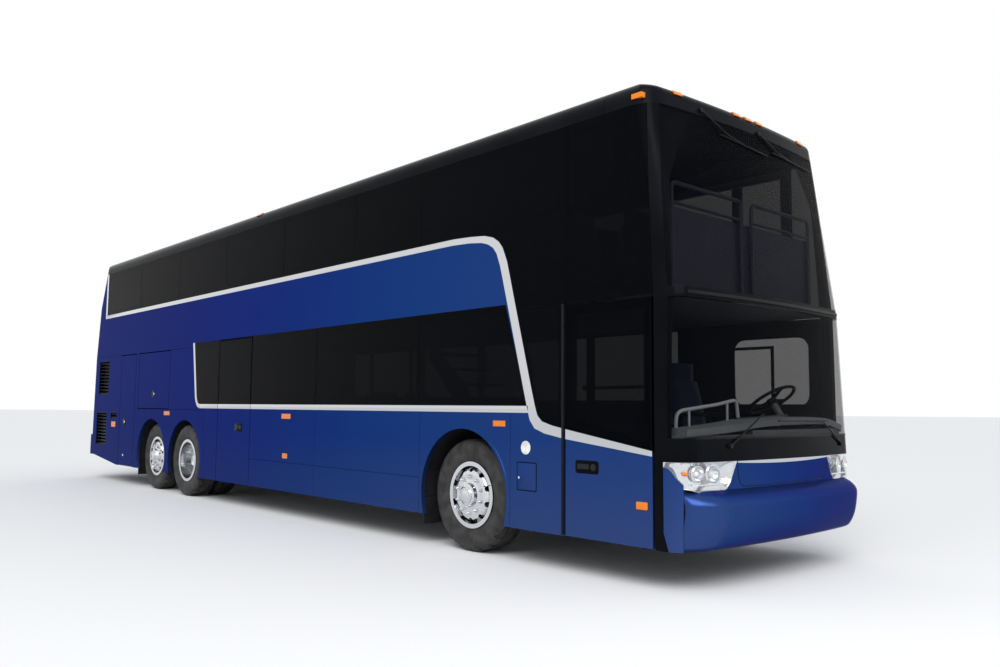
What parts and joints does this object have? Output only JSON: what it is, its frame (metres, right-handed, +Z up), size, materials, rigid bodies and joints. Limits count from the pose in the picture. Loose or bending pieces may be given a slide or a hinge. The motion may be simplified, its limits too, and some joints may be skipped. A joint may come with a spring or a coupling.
{
  "type": "double-deck coach bus",
  "caption": "Double-deck touring coach on three axles: hollow two-floor body with glazed saloons, twin-tyred drive axle, steered front wheels, swinging doors and lifting lids.",
  "frame": {"origin": "on the ground under the middle of the overall box", "axes": "+X forward, +Y to the driver's side (left), +Z up"},
  "size_m": [13.7198, 2.59, 3.9599],
  "materials": {
    "body_blue": "gloss metallic",
    "black_trim": "gloss",
    "roof_black": "gloss",
    "frame_grey": "satin",
    "tinted_glass": "gloss",
    "lamp_clear": "gloss",
    "lamp_amber": "gloss",
    "lamp_red": "gloss",
    "rim_polished": "polished",
    "tyre_rubber": "matt",
    "axle_steel": "satin",
    "floor_grey": "matt",
    "seat_fabric": "matt",
    "dash_grey": "matt",
    "rail_bright": "brushed",
    "engine_grey": "matt"
  },
  "bodies": {
    "coach_body": {"body_glass": "tinted_glass", "body_rails": "frame_grey", "bulkheads": "frame_grey", "dashboard": "dash_grey", "drive_axle": "axle_steel", "engine_block": "engine_grey", "floors": "floor_grey", "front_axle": "axle_steel", "front_bumper": "body_blue", "front_crossbars": "black_trim", "front_lower_panels": "body_blue", "front_pillars": "black_trim", "handrails": "rail_bright", "headlamps": "lamp_clear", "left_side_panels": "body_blue", "louvres": "black_trim", "lower_seats": "seat_fabric", "marker_lamps": "lamp_amber", "rear_bumper": "body_blue", "rear_corners": "body_blue", "rear_wall": "body_blue", "right_side_panels": "body_blue", "roof_panels": "roof_black", "stairs": "floor_grey", "tag_axle": "axle_steel", "tail_lamps": "lamp_red", "underframe": "frame_grey", "upper_seats": "seat_fabric", "wheelhouses": "frame_grey", "window_posts": "frame_grey", "windscreens": "tinted_glass"},
    "entrance_arm": {"entrance_door_arm": "frame_grey"},
    "entrance_door": {"entrance_door": "body_blue", "entrance_door_glass": "tinted_glass"},
    "side_door": {"side_door": "body_blue", "side_door_glass": "tinted_glass"},
    "luggage_door_right": {"luggage_door_right": "body_blue"},
    "luggage_door_left": {"luggage_door_left": "body_blue"},
    "service_door_right": {"service_door_right": "body_blue"},
    "service_door_left": {"service_door_left": "body_blue"},
    "engine_door": {"engine_door": "body_blue"},
    "roof_hatch_front": {"roof_hatch_front": "roof_black"},
    "roof_hatch_rear": {"roof_hatch_rear": "roof_black"},
    "steering_wheel": {"steering_wheel": "black_trim"},
    "knuckle_right": {"knuckle_right": "axle_steel"},
    "knuckle_left": {"knuckle_left": "axle_steel"},
    "wheel_front_right": {"tyre_front_right": "tyre_rubber", "rim_front_right": "rim_polished"},
    "wheel_front_left": {"tyre_front_left": "tyre_rubber", "rim_front_left": "rim_polished"},
    "wheel_drive_right": {"tyre_drive_right": "tyre_rubber", "rim_drive_right": "rim_polished"},
    "wheel_drive_left": {"tyre_drive_left": "tyre_rubber", "rim_drive_left": "rim_polished"},
    "wheel_tag_right": {"tyre_tag_right": "tyre_rubber", "rim_tag_right": "rim_polished"},
    "wheel_tag_left": {"tyre_tag_left": "tyre_rubber", "rim_tag_left": "rim_polished"}
  },
  "joints": [
    {"name": "roll_front_right", "type": "hinge", "parent": "knuckle_right", "child": "wheel_front_right", "pos_m": [4.16, -1.05, 0.52], "axis": [0, 1, 0], "continuous": true},
    {"name": "roll_front_left", "type": "hinge", "parent": "knuckle_left", "child": "wheel_front_left", "pos_m": [4.16, 1.05, 0.52], "axis": [0, 1, 0], "continuous": true},
    {"name": "roll_drive_right", "type": "hinge", "parent": "coach_body", "child": "wheel_drive_right", "pos_m": [-2.3, -1.103, 0.52], "axis": [0, 1, 0], "continuous": true},
    {"name": "roll_drive_left", "type": "hinge", "parent": "coach_body", "child": "wheel_drive_left", "pos_m": [-2.3, 1.103, 0.52], "axis": [0, 1, 0], "continuous": true},
    {"name": "roll_tag_right", "type": "hinge", "parent": "coach_body", "child": "wheel_tag_right", "pos_m": [-3.63, -1.05, 0.52], "axis": [0, 1, 0], "continuous": true},
    {"name": "roll_tag_left", "type": "hinge", "parent": "coach_body", "child": "wheel_tag_left", "pos_m": [-3.63, 1.05, 0.52], "axis": [0, 1, 0], "continuous": true},
    {"name": "steer_left", "type": "hinge", "parent": "coach_body", "child": "knuckle_left", "pos_m": [4.16, 0.89, 0.52], "axis": [0, 0, 1], "range_deg": [-42, 42]},
    {"name": "steer_right", "type": "hinge", "parent": "coach_body", "child": "knuckle_right", "pos_m": [4.16, -0.89, 0.52], "axis": [0, 0, 1], "range_deg": [-42, 42]},
    {"name": "steering_wheel_turn", "type": "hinge", "parent": "coach_body", "child": "steering_wheel", "pos_m": [6.18, 0.7, 1.42], "axis": [-0.5446, 0, 0.8387], "range_deg": [-756, 756]},
    {"name": "entrance_arm_swing", "type": "hinge", "parent": "coach_body", "child": "entrance_arm", "pos_m": [6.3, -1.185, 0.62], "axis": [0, 0, 1], "range_deg": [0, 100]},
    {"name": "entrance_door_swing", "type": "hinge", "parent": "entrance_arm", "child": "entrance_door", "pos_m": [5.62, -1.212, 0.62], "axis": [0, 0, 1], "range_deg": [-100, 0]},
    {"name": "side_door_swing", "type": "hinge", "parent": "coach_body", "child": "side_door", "pos_m": [-1.183, -1.285, 1.27], "axis": [0, 0, -1], "range_deg": [0, 90]},
    {"name": "engine_door_lift", "type": "hinge", "parent": "coach_body", "child": "engine_door", "pos_m": [-6.72, 0, 2.183], "axis": [0, 1, 0], "range_deg": [0, 80]},
    {"name": "luggage_lift_right", "type": "hinge", "parent": "coach_body", "child": "luggage_door_right", "pos_m": [-3.615, -1.285, 2.183], "axis": [-1, 0, 0], "range_deg": [0, 100]},
    {"name": "service_swing_right", "type": "hinge", "parent": "coach_body", "child": "service_door_right", "pos_m": [-4.417, -1.285, 1.24], "axis": [0, 0, 1], "range_deg": [0, 90]},
    {"name": "luggage_lift_left", "type": "hinge", "parent": "coach_body", "child": "luggage_door_left", "pos_m": [-3.615, 1.285, 2.183], "axis": [1, 0, 0], "range_deg": [0, 100]},
    {"name": "service_swing_left", "type": "hinge", "parent": "coach_body", "child": "service_door_left", "pos_m": [-4.417, 1.285, 1.24], "axis": [0, 0, -1], "range_deg": [0, 90]},
    {"name": "roof_hatch_front_lift", "type": "hinge", "parent": "coach_body", "child": "roof_hatch_front", "pos_m": [2.91, 0, 3.958], "axis": [0, 1, 0], "range_deg": [0, 60]},
    {"name": "roof_hatch_rear_lift", "type": "hinge", "parent": "coach_body", "child": "roof_hatch_rear", "pos_m": [-3.09, 0, 3.958], "axis": [0, 1, 0], "range_deg": [0, 60]}
  ],
  "couplings": [
    {"joint": "steer_right", "follows": "steer_left", "ratio": 1},
    {"joint": "steering_wheel_turn", "follows": "steer_left", "ratio": 18},
    {"joint": "entrance_door_swing", "follows": "entrance_arm_swing", "ratio": -1}
  ]
}
